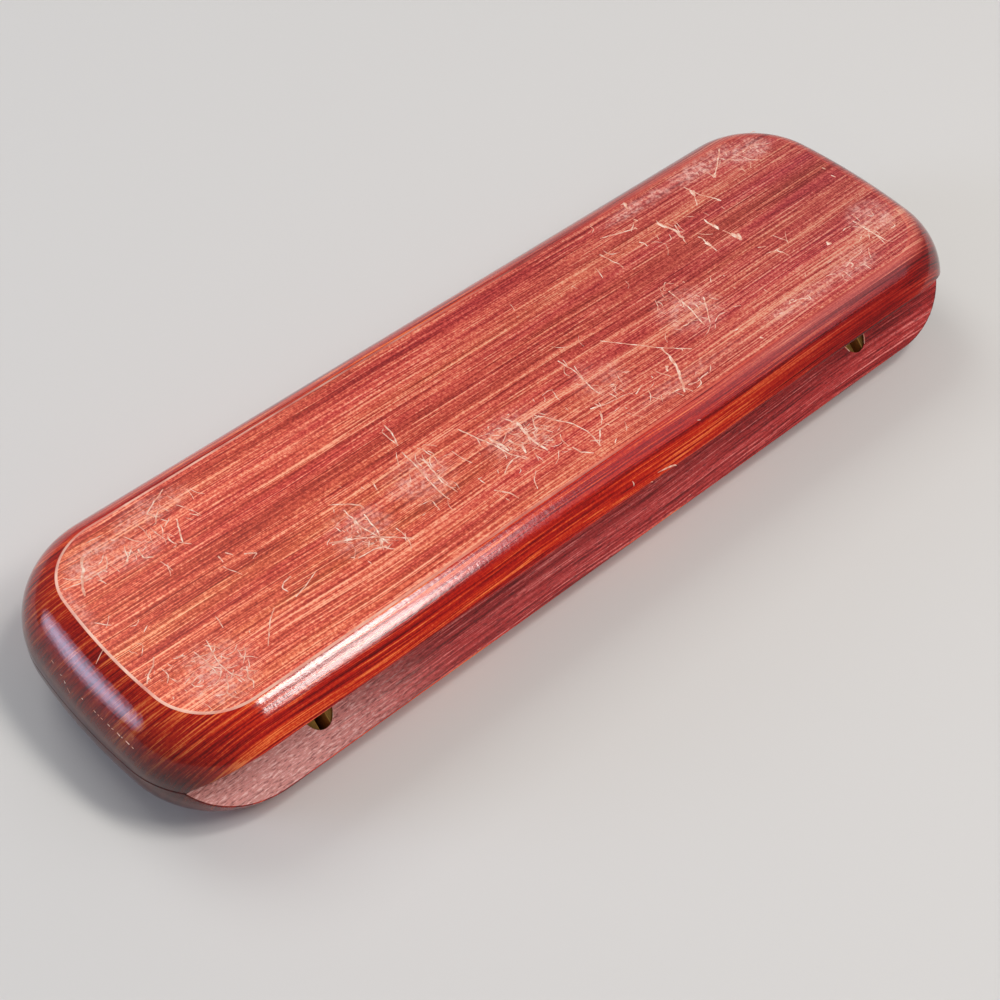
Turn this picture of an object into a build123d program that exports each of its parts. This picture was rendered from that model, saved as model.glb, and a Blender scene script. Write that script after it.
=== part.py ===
from build123d import *
import os
from math import atan, atan2, cos, degrees, hypot, radians, sin, sqrt

os.makedirs("parts", exist_ok=True)

# Driving dimensions, in millimetres. +X runs along the case, +Y points to the hinge side, +Z is up.
# The origin is the middle of the case's flat underside, and the case lies closed.
length = 168.0  # over the bowed ends
width = 54.5  # over the long sides, before the groove takes the hinge side's widest line
height = 21.0  # base and lid together
parting = 0.1  # open line between the two rims of the closed case

corner_radius = 17.0  # plan radius of the four corners
end_radius = 115.0  # slow bow of the two short ends
wall_land = 1.0  # upright band beside the parting line
edge_inset = 6.6  # how far the flat faces stand in from the widest line

groove_depth = 6.9  # the V along the hinge side, cut at 45 degrees in each half
end_wall = 8.5  # wood around the pen cavity, at the split
front_wall = 6.7
back_wall = 10.7
cavity_corner = 6.0
panel_thickness = 2.8  # flat faces of the base and the lid

# Concealed barrel hinge. Points inside it are (u, w): u inward from the turning axis, w down from the split.
hinge_from_end = 26.5
barrel_radius = 2.5
barrel_length = 8.0
barrel_past_apex = 0.4  # barrel centre outside the bottom of the groove
axis_past_barrel = 1.1  # turning axis outside the barrel centre
barrel_recess = 0.35  # rim below the groove's face and the split, measured upright
slot_half = 0.9
slot_depth = 7.5
pin_radius = 0.3
pin_reach = 1.75  # how far each pin runs into the barrel's cheek
link_inner = 0.05  # each link stands this far off the hinge's middle plane
link_outer = 0.85
link_half = 0.75  # half the link's width
link_pivot = (1.21, 1.5)  # fixed pin in the barrel
link_centre = (2.5, 0.0)  # pin that joins the two links
link_guide = (2.12, 5.88)  # pin that the other link's slot slides on
link_lean = 2.0  # degrees that the link's long arm leans away from the barrel's own line
guide_near = 5.89  # slot, measured from the centre pin: guide pin with the lid shut
guide_far = 6.6  # guide pin with the lid half open
pivot_clearance = 0.03
centre_clearance = 0.2  # the linkage is left loose at the centre pin and in the slots

magnet_radius = 2.0
magnet_height = 2.0
magnet_from_end = 39.0
magnet_from_front = 3.4
magnet_recess = 0.1  # disc below the rim

# Linings
lining_clearance = 0.2
tray_drop = 0.8  # tray's top below the split
tray_rim = 3.1  # flat land outside the two troughs
tray_rib = 3.4  # flat land between them
tray_end = 3.0
trough_centre_rise = 2.0  # trough's centre above the tray's top
scoop_radius = 12.0
scoop_rise = 5.8
scoop_overrun = 2.0
tray_edge = 0.5
pad_thickness = 2.2
pad_edge = 0.9
pad_margin = 0.6

# Values that follow from the ones above
half_length = length / 2
half_width = width / 2
split = height / 2
rim_z = split - parting / 2
edge_rise = split - wall_land
edge_angle = 2 * atan(edge_inset / edge_rise)
edge_radius = edge_rise / sin(edge_angle)
apex_y = half_width - groove_depth
barrel_y = apex_y + barrel_past_apex
axis_y = barrel_y + axis_past_barrel
hinge_x = half_length - hinge_from_end
magnet_x = half_length - magnet_from_end
magnet_y = magnet_from_front - half_width
cavity_length = length - 2 * end_wall
cavity_width = width - front_wall - back_wall
cavity_y = (front_wall - back_wall) / 2
insert_top = split - tray_drop
trough_half = (cavity_width / 2 - tray_rim - tray_rib / 2) / 2
trough_radius = hypot(trough_half, trough_centre_rise)
trough_centre_z = insert_top + trough_centre_rise
trough_length = cavity_length - 2 * tray_end
pen_spacing = tray_rib + 2 * trough_half
scoop_centre_z = insert_top + scoop_rise
scoop_width = pen_spacing + 2 * scoop_overrun


def rim_outline(inset):
    """Draws the case's plan outline, moved inward by inset, starting at the middle of the hinge side."""
    y = half_width - inset
    corner = corner_radius - inset
    bow = end_radius - inset
    bow_x = half_length - end_radius
    corner_y = half_width - corner_radius
    corner_x = bow_x + sqrt((end_radius - corner_radius) ** 2 - corner_y**2)
    reach = sqrt((corner_x - bow_x) ** 2 + corner_y**2)
    join = (bow_x + bow * (corner_x - bow_x) / reach, bow * corner_y / reach)
    turn = degrees(atan(corner_y / (corner_x - bow_x)))
    middle = radians((90 + turn) / 2)
    corner_mid = (corner_x + corner * cos(middle), corner_y + corner * sin(middle))
    end_tip = half_length - inset
    Line((0, y), (corner_x, y))
    ThreePointArc((corner_x, y), corner_mid, join)
    ThreePointArc(join, (end_tip, 0), (join[0], -join[1]))
    ThreePointArc((join[0], -join[1]), (corner_mid[0], -corner_mid[1]), (corner_x, -y))
    Line((corner_x, -y), (-corner_x, -y))
    ThreePointArc((-corner_x, -y), (-corner_mid[0], -corner_mid[1]), (-join[0], -join[1]))
    ThreePointArc((-join[0], -join[1]), (-end_tip, 0), (-join[0], join[1]))
    ThreePointArc((-join[0], join[1]), (-corner_mid[0], corner_mid[1]), (-corner_x, y))
    Line((-corner_x, y), (0, y))


def at_hinge(u, w):
    """A point of the hinge's side view, as local (y, z) of a plane that looks along X."""
    return (axis_y - u, split - w)


def hinge_copy(shape, side, turned):
    """The right-hand base piece, turned over for the lid and moved along for the left hinge."""
    placed = shape
    if turned:
        placed = placed.rotate(Axis((hinge_x, 0, split), (0, 1, 0)), 180)
    if side == "left":
        placed = placed.moved(Location((-2 * hinge_x, 0, 0)))
    return placed


# Base half of the case: a core, with the rounded edge swept around the plan outline
with BuildPart() as base_shell:
    with BuildSketch() as core:
        with BuildLine():
            rim_outline(7.5)
        make_face()
    extrude(amount=rim_z)
    with BuildLine(Plane.XY) as edge_path:
        rim_outline(0)
    edge_plane = Plane(origin=(0, half_width, 0), x_dir=(0, -1, 0), z_dir=(-1, 0, 0))
    with BuildSketch(edge_plane) as edge_section:
        with BuildLine():
            arc_mid = (
                edge_radius * (1 - cos(edge_angle / 2)),
                edge_rise - edge_radius * sin(edge_angle / 2),
            )
            Line((0, edge_rise), (0, rim_z))
            Line((0, rim_z), (9.0, rim_z))
            Line((9.0, rim_z), (9.0, 0))
            Line((9.0, 0), (edge_inset, 0))
            ThreePointArc((edge_inset, 0), arc_mid, (0, edge_rise))
        make_face()
    sweep(path=edge_path.wires()[0])
    # 45 degree face that makes the lower half of the V along the hinge side
    with BuildSketch(Plane.YZ.offset(-half_length)) as groove:
        with BuildLine():
            Polyline(
                (apex_y - 1, split + 1),
                (half_width + 1, split - groove_depth - 1),
                (half_width + 1, split + 1),
                close=True,
            )
        make_face()
    extrude(amount=length, mode=Mode.SUBTRACT)
    # pen cavity
    with BuildSketch(Plane.XY.offset(panel_thickness)) as cavity:
        with Locations((0, cavity_y)):
            RectangleRounded(cavity_length, cavity_width, cavity_corner)
    extrude(amount=height, mode=Mode.SUBTRACT)
    # bores for the hinge barrels and the closing magnets
    with Locations((-hinge_x, barrel_y, split), (hinge_x, barrel_y, split)):
        Cylinder(barrel_radius, 2 * barrel_length, mode=Mode.SUBTRACT)
    with Locations((-magnet_x, magnet_y, rim_z), (magnet_x, magnet_y, rim_z)):
        Cylinder(magnet_radius, 2 * (magnet_height + magnet_recess), mode=Mode.SUBTRACT)

# The lid is the base's mirror image over the split
with BuildPart() as lid_shell:
    mirror(base_shell.part, about=Plane.XY.offset(split))

# Hinge barrel: a brass plug slotted for the links, its rim cut back to the slope of the groove
with BuildPart() as hinge_barrel:
    with BuildSketch(Plane.XY.offset(split - barrel_length)) as barrel_round:
        with Locations((hinge_x, barrel_y)):
            Circle(barrel_radius)
    extrude(amount=barrel_length)
    with BuildSketch(Plane.YZ.offset(hinge_x - barrel_radius)) as barrel_trim:
        with BuildLine():
            Polyline(
                (apex_y - 4, split - barrel_recess),
                (apex_y, split - barrel_recess),
                (apex_y + 6, split - barrel_recess - 6),
                (apex_y + 6, split + 1),
                (apex_y - 4, split + 1),
                close=True,
            )
        make_face()
    extrude(amount=2 * barrel_radius, mode=Mode.SUBTRACT)
    with Locations((hinge_x, barrel_y, split)):
        Box(2 * slot_half, 3 * barrel_radius, 2 * slot_depth, mode=Mode.SUBTRACT)
    # pivot pin hole in one cheek, guide pin hole in the other
    with BuildSketch(Plane.YZ.offset(hinge_x - pin_reach)) as pivot_hole:
        with Locations(at_hinge(*link_pivot)):
            Circle(pin_radius)
    extrude(amount=pin_reach, mode=Mode.SUBTRACT)
    with BuildSketch(Plane.YZ.offset(hinge_x)) as guide_hole:
        with Locations(at_hinge(*link_guide)):
            Circle(pin_radius)
    extrude(amount=pin_reach, mode=Mode.SUBTRACT)

# The two pins of a barrel: the pivot carries one link, the guide runs in the other link's slot
with BuildPart() as barrel_pins:
    with BuildSketch(Plane.YZ.offset(hinge_x - pin_reach)) as pivot_round:
        with Locations(at_hinge(*link_pivot)):
            Circle(pin_radius)
    extrude(amount=pin_reach - link_inner)
    with BuildSketch(Plane.YZ.offset(hinge_x + link_inner)) as guide_round:
        with Locations(at_hinge(*link_guide)):
            Circle(pin_radius)
    extrude(amount=pin_reach - link_inner)


def link_point(reach):
    """A point on the long arm of the base's link, reach away from the centre pin."""
    lean = radians(link_lean)
    return (link_centre[0] - reach * sin(lean), link_centre[1] - reach * cos(lean))


def link_bar(start, end, half, mode=Mode.ADD):
    """A round-ended bar of the link's side view between two (u, w) points."""
    first, last = at_hinge(*start), at_hinge(*end)
    across, up = last[0] - first[0], last[1] - first[1]
    with Locations(((first[0] + last[0]) / 2, (first[1] + last[1]) / 2)):
        SlotCenterToCenter(hypot(across, up), 2 * half, rotation=degrees(atan2(up, across)), mode=mode)


def link_sketch(centre_hole):
    """Side view of one cranked link: pivot hole, centre hole at the crank, slot along the long arm."""
    link_bar(link_pivot, link_centre, link_half)
    link_bar(link_centre, link_point(guide_far), link_half)
    with Locations(at_hinge(*link_pivot)):
        Circle(pin_radius + pivot_clearance, mode=Mode.SUBTRACT)
    with Locations(at_hinge(*link_centre)):
        Circle(centre_hole, mode=Mode.SUBTRACT)
    link_bar(
        link_point(guide_near), link_point(guide_far), pin_radius + centre_clearance, Mode.SUBTRACT
    )


# Link pinned in the base barrel; the centre pin is tight in it
with BuildPart() as base_link:
    with BuildSketch(Plane.YZ.offset(hinge_x - link_outer)) as base_link_side:
        link_sketch(pin_radius)
    extrude(amount=link_outer - link_inner)

# Link pinned in the lid barrel, drawn here in the base and turned over below; loose on the centre pin
with BuildPart() as lid_link:
    with BuildSketch(Plane.YZ.offset(hinge_x - link_outer)) as lid_link_side:
        link_sketch(pin_radius + centre_clearance)
    extrude(amount=link_outer - link_inner)

with BuildPart() as centre_pin:
    with BuildSketch(Plane.YZ.offset(hinge_x - link_outer)) as centre_round:
        with Locations(at_hinge(*link_centre)):
            Circle(pin_radius)
    extrude(amount=2 * link_outer)

# Closing magnets: one disc in each bore of the front rims
with BuildPart() as magnet_disc:
    with BuildSketch(Plane.XY.offset(rim_z - magnet_recess - magnet_height)) as magnet_round:
        with Locations((magnet_x, magnet_y)):
            Circle(magnet_radius)
    extrude(amount=magnet_height)

# Flocked pen tray glued into the base: two half-round troughs and a finger scoop across the middle
with BuildPart() as pen_tray:
    with BuildSketch(Plane.XY.offset(panel_thickness)) as tray_plan:
        with Locations((0, cavity_y)):
            RectangleRounded(
                cavity_length - 2 * lining_clearance,
                cavity_width - 2 * lining_clearance,
                cavity_corner - lining_clearance,
            )
    extrude(amount=insert_top - panel_thickness)
    with BuildSketch(Plane.YZ.offset(-trough_length / 2)) as troughs:
        with Locations(
            (cavity_y - pen_spacing / 2, trough_centre_z), (cavity_y + pen_spacing / 2, trough_centre_z)
        ):
            Circle(trough_radius)
    extrude(amount=trough_length, mode=Mode.SUBTRACT)
    with BuildSketch(Plane.XZ.offset(-cavity_y - scoop_width / 2)) as scoop:
        with Locations((0, scoop_centre_z)):
            Circle(scoop_radius)
    extrude(amount=scoop_width, mode=Mode.SUBTRACT)
    top_edges = pen_tray.edges().filter_by_position(Axis.Z, insert_top - 0.01, insert_top + 0.01)
    chamfer(top_edges, length=tray_edge)

# Padded lining glued to the inside of the lid
with BuildPart() as lid_pad:
    with BuildSketch(Plane.XY.offset(height - panel_thickness - pad_thickness)) as pad_plan:
        with Locations((0, cavity_y)):
            RectangleRounded(
                cavity_length - 2 * pad_margin,
                cavity_width - 2 * pad_margin,
                cavity_corner - pad_margin,
            )
    extrude(amount=pad_thickness)
    fillet(lid_pad.faces().sort_by(Axis.Z)[0].edges(), radius=pad_edge)

base_shell.part.label = "base_shell"
lid_shell.part.label = "lid_shell"
pen_tray.part.label = "pen_tray"
lid_pad.part.label = "lid_pad"
export_step(base_shell.part, "parts/base_shell.step")
export_step(lid_shell.part, "parts/lid_shell.step")
export_step(pen_tray.part, "parts/pen_tray.step")
export_step(lid_pad.part, "parts/lid_pad.step")

for side in ("left", "right"):
    hinge_pieces = {
        "base_barrel": (hinge_barrel.part, False),
        "lid_barrel": (hinge_barrel.part, True),
        "base_pins": (barrel_pins.part, False),
        "lid_pins": (barrel_pins.part, True),
        "base_link": (base_link.part, False),
        "lid_link": (lid_link.part, True),
        "centre_pin": (centre_pin.part, False),
    }
    for piece, (shape, turned) in hinge_pieces.items():
        with BuildPart() as hinge_piece:
            add(hinge_copy(shape, side, turned))
        hinge_piece.part.label = f"{piece}_{side}"
        export_step(hinge_piece.part, f"parts/{piece}_{side}.step")
    with BuildPart() as base_magnet:
        if side == "right":
            add(magnet_disc.part)
        else:
            mirror(magnet_disc.part, about=Plane.YZ)
    base_magnet.part.label = f"base_magnet_{side}"
    export_step(base_magnet.part, f"parts/base_magnet_{side}.step")
    with BuildPart() as lid_magnet:
        mirror(base_magnet.part, about=Plane.XY.offset(split))
    lid_magnet.part.label = f"lid_magnet_{side}"
    export_step(lid_magnet.part, f"parts/lid_magnet_{side}.step")
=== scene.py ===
# %% [markdown]
# A wooden pen box lies closed on its base, seen from above its hinge side. Both halves are solid
# rosewood under clear lacquer, with a flat top, a quarter-round edge and a V groove along the hinge.
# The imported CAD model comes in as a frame. Its small metal pieces stay and get finishes, and the wood,
# the tray and the lining are modelled again here, because grain, soft arrises and cloth need it.

import math
import random

import bmesh
import bpy
from mathutils import Matrix, Vector


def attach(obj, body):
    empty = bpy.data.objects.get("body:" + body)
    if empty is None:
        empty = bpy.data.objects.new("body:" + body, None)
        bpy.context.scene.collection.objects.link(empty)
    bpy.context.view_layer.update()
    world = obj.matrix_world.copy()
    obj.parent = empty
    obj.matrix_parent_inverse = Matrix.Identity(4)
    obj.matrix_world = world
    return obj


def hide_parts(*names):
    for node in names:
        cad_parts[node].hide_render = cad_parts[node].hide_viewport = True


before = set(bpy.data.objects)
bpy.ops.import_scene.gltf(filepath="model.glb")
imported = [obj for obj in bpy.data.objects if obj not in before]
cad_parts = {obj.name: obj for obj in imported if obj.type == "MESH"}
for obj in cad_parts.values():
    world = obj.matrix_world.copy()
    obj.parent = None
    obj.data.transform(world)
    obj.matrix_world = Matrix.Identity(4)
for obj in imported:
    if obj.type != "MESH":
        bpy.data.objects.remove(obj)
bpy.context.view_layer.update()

# %% [markdown]
# The case's own sizes are repeated here in millimetres. A mesh is drawn in millimetres and made metres
# in one step at the end, so the numbers read as they would on a drawing.

# %% Sizes of the case, in millimetres
LENGTH, WIDTH, HEIGHT = 168.0, 54.5, 21.0
SPLIT = HEIGHT / 2
RIM_GAP = 0.05  # half of the open line between the rims
CORNER_RADIUS, END_RADIUS = 17.0, 115.0
WALL_LAND = 1.0  # upright band beside the split
EDGE_INSET = 6.6  # the flat stands in from the widest line
PANEL = 2.8  # wood left above the pocket
APEX_Y = WIDTH / 2 - 6.9  # bottom of the V groove
MIDDLE = -2.0  # y of the middle of the pocket
CAVITY = (151.0, 37.1, MIDDLE, 6.0)  # length, width, centre y and corner radius
BARREL = (57.5, 20.75, 2.5, 8.0)  # x, y, radius and depth of a hinge bore
MAGNET = (45.0, -23.85, 2.0, 2.1)  # the same for a magnet's
CREASE_BEVEL, ARRIS_BEVEL = 0.22, 0.16  # how far the crease and the sawn arrises are eased

EDGE_RISE = SPLIT - WALL_LAND
EDGE_ANGLE = 2 * math.atan(EDGE_INSET / EDGE_RISE)
EDGE_RADIUS = EDGE_RISE / math.sin(EDGE_ANGLE)
print("quarter-round radius", round(EDGE_RADIUS, 2), "mm over", round(math.degrees(EDGE_ANGLE), 1), "degrees")

# %% [markdown]
# A few helpers serve every mesh. One turns a finished bmesh into an object: it scales millimetres to
# metres, recalculates the normals, and marks the edges that a hand would feel as sharp. Another cuts
# one shape from another with a Boolean, for the bores, whose rims no single operator gives.


# %% Mesh helpers
def new_object(name, data):
    """An object in the scene for a mesh, curve, lamp or camera."""
    made = bpy.data.objects.new(name, data)
    bpy.context.scene.collection.objects.link(made)
    return made


def finish_mesh(bm, name, sharp=30.0):
    """A bmesh in millimetres becomes an object in metres, smooth but for its sharp edges."""
    bmesh.ops.remove_doubles(bm, verts=bm.verts, dist=0.0005)
    bmesh.ops.recalc_face_normals(bm, faces=bm.faces)
    for face in bm.faces:
        face.smooth = True
    for edge in bm.edges:
        edge.smooth = edge.calc_face_angle(0.0) < math.radians(sharp)
    bmesh.ops.scale(bm, vec=(0.001, 0.001, 0.001), verts=bm.verts)
    mesh = bpy.data.meshes.new(name)
    bm.to_mesh(mesh)
    bm.free()
    return new_object(name, mesh)


def apply_modifiers(piece):
    """Puts what the piece's modifiers give into its mesh."""
    graph = bpy.context.evaluated_depsgraph_get()
    shaped = bpy.data.meshes.new_from_object(piece.evaluated_get(graph))
    piece.modifiers.clear()
    piece.data = shaped


def cut(piece, cutter):
    """Takes the cutter's volume out of the piece and removes the cutter."""
    boolean = piece.modifiers.new("cut", "BOOLEAN")
    boolean.operation = "DIFFERENCE"
    boolean.solver = "EXACT"
    boolean.object = cutter
    apply_modifiers(piece)
    bpy.data.objects.remove(cutter)


# %% [markdown]
# A wooden half starts as a section of its edge: up the land by the split, then round the arc to the
# flat. Drawn once at the middle of the long side, it is extruded to the corner, spun round the corner,
# and spun again round the far centre of the bowed end. That is how a router follows a template, and it
# keeps the arc's radius true all the way round, which a bevel would not.


# %% Quarter of the lid's edge, then the whole
def edge_sweep():
    """The lid's edge wall all round, open above and below, drawn in millimetres."""
    bm = bmesh.new()
    half_width = WIDTH / 2
    corner_y = half_width - CORNER_RADIUS
    bow_x = LENGTH / 2 - END_RADIUS
    corner_x = bow_x + math.sqrt((END_RADIUS - CORNER_RADIUS) ** 2 - corner_y**2)
    turn = math.atan2(corner_y, corner_x - bow_x)
    foot = bm.verts.new((0, half_width, SPLIT + RIM_GAP))
    land = bm.verts.new((0, half_width, SPLIT + WALL_LAND))
    bm.edges.new((foot, land))
    arc_centre = (0, half_width - EDGE_RADIUS, SPLIT + WALL_LAND)
    bmesh.ops.spin(bm, geom=[land], cent=arc_centre, axis=(1, 0, 0), angle=EDGE_ANGLE, steps=26)
    section = list(bm.edges)
    grown = bmesh.ops.extrude_edge_only(bm, edges=section)["geom"]
    moved = [g for g in grown if isinstance(g, bmesh.types.BMVert)]
    bmesh.ops.translate(bm, vec=(corner_x, 0, 0), verts=moved)
    section = moved + [g for g in grown if isinstance(g, bmesh.types.BMEdge)]
    for centre, angle, steps in (
        ((corner_x, corner_y, 0), math.pi / 2 - turn, 40), ((bow_x, 0, 0), turn, 12)
    ):
        section = bmesh.ops.spin(
            bm, geom=section, cent=centre, axis=(0, 0, -1), angle=angle, steps=steps
        )["geom_last"]
    for axis in ("X", "Y"):
        bmesh.ops.mirror(bm, geom=bm.verts[:] + bm.edges[:] + bm.faces[:], axis=axis, merge_dist=0.001)
    bmesh.ops.remove_doubles(bm, verts=bm.verts, dist=0.001)
    return bm


trial = edge_sweep()
print("edge wall:", len(trial.faces), "faces; open edges:", sum(e.is_boundary for e in trial.edges))
trial.free()

# %% [markdown]
# The open wall is closed by one flat face above and one below. A plane at 45 degrees then takes off the
# hinge side's lower arris, as a saw would, and that makes half of the V groove. The arrises get a small
# bevel, because sanding leaves none of them sharp, and a bevel gives the thin bright line there.


# %% Closed lid block with its groove
def lid_block():
    """The solid lid before its pocket and bores are cut."""
    bm = edge_sweep()
    for level in (SPLIT + RIM_GAP, HEIGHT):
        ring = [e for e in bm.edges if e.is_boundary and all(abs(v.co.z - level) < 0.01 for v in e.verts)]
        bmesh.ops.contextual_create(bm, geom=ring)
    slope = Vector((0, 1, -1)).normalized()
    whole = bm.verts[:] + bm.edges[:] + bm.faces[:]
    sawn = bmesh.ops.bisect_plane(
        bm, geom=whole, dist=0.0001, plane_co=(0, APEX_Y, SPLIT), plane_no=slope, clear_outer=True
    )["geom_cut"]
    bmesh.ops.contextual_create(bm, geom=[g for g in sawn if isinstance(g, bmesh.types.BMEdge)])
    bmesh.ops.recalc_face_normals(bm, faces=bm.faces)
    bm.normal_update()
    crease = [e for e in bm.edges if all(v.co.z > HEIGHT - 0.001 for v in e.verts)]
    bmesh.ops.bevel(
        bm, geom=crease, offset=CREASE_BEVEL, segments=3, profile=0.5, affect="EDGES", material=-1
    )
    arris = [e for e in bm.edges if e.calc_face_angle(0.0) > math.radians(28)]
    bmesh.ops.bevel(
        bm, geom=arris, offset=ARRIS_BEVEL, segments=2, profile=0.5, affect="EDGES", material=-1
    )
    return bm


trial = lid_block()
print("lid block:", len(trial.faces), "faces; open edges:", sum(e.is_boundary for e in trial.edges))
trial.free()

# %% [markdown]
# The pocket and the bores are routed and drilled. Their shapes stand together in one cutter: a block
# with rounded upright corners, and a cylinder for each bore. The base is the same piece turned over
# about the split, so its mesh is the lid's, mirrored. Each face is sorted by how it was made, because
# its finish follows from that.


# %% Pocket and bores
GLOSS, SATIN, MILLED, CREASE = range(4)  # the wood's material slots
DIAGONAL = math.sqrt(0.5)  # a unit normal's parts across the groove
SLACK = 0.0002  # metres that a face may lie outside a limit


def routed_block(bm, long, wide, y, corner, low, high):
    """A block with rounded upright corners between two levels, added to bm."""
    made = bmesh.ops.create_grid(bm, x_segments=1, y_segments=1, size=0.5)["verts"]
    bmesh.ops.scale(bm, vec=(long, wide, 1), verts=made)
    bmesh.ops.translate(bm, vec=(0, y, low), verts=made)
    bmesh.ops.bevel(bm, geom=made, offset=corner, segments=12, profile=0.5, affect="VERTICES", material=-1)
    plan = [f for f in bm.faces if all(abs(v.co.z - low) < 1e-6 for v in f.verts)]
    grown = bmesh.ops.extrude_face_region(bm, geom=plan, use_keep_orig=True)["geom"]
    lifted = [g for g in grown if isinstance(g, bmesh.types.BMVert)]
    bmesh.ops.translate(bm, vec=(0, 0, high - low), verts=lifted)


def cylinder(bm, radius, length, placed, segments):
    """A closed cylinder about its own Z axis, placed by a matrix and added to bm."""
    bmesh.ops.create_cone(
        bm, cap_ends=True, segments=segments, radius1=radius, radius2=radius, depth=length, matrix=placed
    )


def pocket_cutter():
    """One cutter for the pocket, the hinge bores and the magnet bores of the lid."""
    bm = bmesh.new()
    routed_block(bm, *CAVITY, SPLIT - 4, HEIGHT - PANEL)
    for x, y, radius, depth in (BARREL, MAGNET):
        for side in (-1, 1):
            cylinder(bm, radius, 2 * depth, Matrix.Translation((side * x, y, SPLIT)), 64)
    return finish_mesh(bm, "pocket_cutter")


def wooden_half(name, turned):
    """The lid, or for the base its mirror image, with its faces in the slots of their finishes."""
    piece = finish_mesh(lid_block(), name)
    cut(piece, pocket_cutter())
    bm = bmesh.new()
    bm.from_mesh(piece.data)
    bmesh.ops.remove_doubles(bm, verts=bm.verts, dist=1e-7)
    bmesh.ops.dissolve_degenerate(bm, edges=bm.edges, dist=1e-7)
    if turned:
        flip = Matrix.Diagonal((1, 1, -1, 1))
        flip.translation = (0, 0, HEIGHT / 1000)
        bmesh.ops.transform(bm, matrix=flip, verts=bm.verts)
    bmesh.ops.recalc_face_normals(bm, faces=bm.faces)
    outside = 0.0 if turned else HEIGHT / 1000
    reach_x, reach_y, centre_y = CAVITY[0] / 2000, CAVITY[1] / 2000, MIDDLE / 1000
    for face in bm.faces:
        face.smooth = True
        middle = face.calc_center_median()
        in_pocket = abs(middle.x) < reach_x + SLACK and abs(middle.y - centre_y) < reach_y + SLACK
        steep = abs(face.normal.z)
        level = steep > 0.99
        sawn = abs(steep - DIAGONAL) < 0.01 and abs(face.normal.y - DIAGONAL) < 0.01
        depth = abs(middle.z - outside)
        if steep > 0.9999 and depth < 1e-5:
            face.material_index = SATIN
        elif level and abs(middle.z - SPLIT / 1000) < SLACK:
            face.material_index = GLOSS
        elif (in_pocket and steep < 0.5) or sawn or (level and depth > 0.001):
            face.material_index = MILLED
        elif depth < 0.00008:
            face.material_index = CREASE
    for edge in bm.edges:
        edge.smooth = edge.calc_face_angle(0.0) < math.radians(13)
    bm.to_mesh(piece.data)
    bm.free()
    return piece


lid_wood = wooden_half("lid_wood", False)
base_wood = wooden_half("base_wood", True)
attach(lid_wood, "lid")
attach(base_wood, "base")
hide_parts("lid_shell")
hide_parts("base_shell")
for piece in (lid_wood, base_wood):
    print(piece.name, len(piece.data.polygons), "faces")

# %% [markdown]
# Materials are node trees. One function adds a node, sets its properties, and fills or links its
# inputs. Sums, ranges and mixes come up often, so each has a shorter one, and another ends a tree with
# its shader. Colours are written as sRGB hex, as a painter's chart gives them, and are turned to the
# linear values that the shader mixes.


# %% Node and colour helpers
def colour(code):
    """An sRGB hex colour as linear RGBA."""
    values = [int(code[i : i + 2], 16) / 255 for i in (1, 3, 5)]
    linear = [v / 12.92 if v <= 0.04045 else ((v + 0.055) / 1.055) ** 2.4 for v in values]
    return (*linear, 1.0)


def add(tree, kind, inputs=None, **settings):
    """Adds one node. An input is filled with a value, or linked to a socket or a node's first output."""
    node = tree.nodes.new("ShaderNode" + kind)
    for key, value in settings.items():
        setattr(node, key, value)
    for key, value in (inputs or {}).items():
        if isinstance(value, bpy.types.Node):
            value = next(output for output in value.outputs if output.enabled)
        if isinstance(value, bpy.types.NodeSocket):
            tree.links.new(value, node.inputs[key])
        else:
            node.inputs[key].default_value = value
    return node


def calc(tree, operation, *values):
    """A Math node for up to three values."""
    return add(tree, "Math", dict(enumerate(values)), operation=operation)


def ranged(tree, value, start, end, low, high, course="LINEAR"):
    """The value turned, so that it runs from low to high while it went from start to end."""
    span = {"From Min": start, "From Max": end, "To Min": low, "To Max": high}
    return add(tree, "MapRange", {"Value": value, **span}, interpolation_type=course)


def mix(tree, share, first, second, blend="MIX"):
    """Two colours mixed by the share of the second. Each is a hex colour, a socket or a node."""
    first, second = (colour(c) if isinstance(c, str) else c for c in (first, second))
    return add(tree, "Mix", {0: share, 6: first, 7: second}, data_type="RGBA", blend_type=blend)


def new_material(name):
    """An empty node material, and its tree."""
    material = bpy.data.materials.new(name)
    material.use_nodes = True
    material.node_tree.nodes.clear()
    return material, material.node_tree


def surface(tree, inputs):
    """Ends a material's tree with its shader and its output."""
    shader = add(tree, "BsdfPrincipled", inputs)
    add(tree, "OutputMaterial", {"Surface": shader})


# %% [markdown]
# Two patterns serve several finishes. A fade runs along the length or the height of the case, because
# wear and stain differ from end to end. A mottle is a noise with its middle tones drawn apart, which
# gives patches with clear edges.


# %% Fades and mottles
def fade(tree, place, axis, start, end, low, high, course="SMOOTHSTEP"):
    """A value that runs from low to high between two places along an axis, in millimetres."""
    apart = add(tree, "SeparateXYZ", {"Vector": place})
    return ranged(tree, apart.outputs[axis], start / 1000, end / 1000, low, high, course)


def mottle(tree, place, scale, detail, between, values, coarse=0.5):
    """Noise of that many features per metre, turned to the two values between two of its tones."""
    noise = add(tree, "TexNoise", {"Vector": place, "Scale": scale, "Detail": detail, "Roughness": coarse})
    return ranged(tree, noise, *between, *values)


# %% [markdown]
# Rosewood has straight grain here. Its layers run along the case and lean a little, so the tone changes
# quickly across it (Y), more slowly down it (Z) and hardly at all along it (X). Each part of the pattern
# is a noise with its coordinates stretched that way: streaks, fine lines, open pores, and thin pale and
# dark fibres, which are the narrow places where a noise crosses its middle. The broad bands lie where
# this board has them. It is a solid pattern, so the lines run on over the round ends as in real wood.

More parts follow.
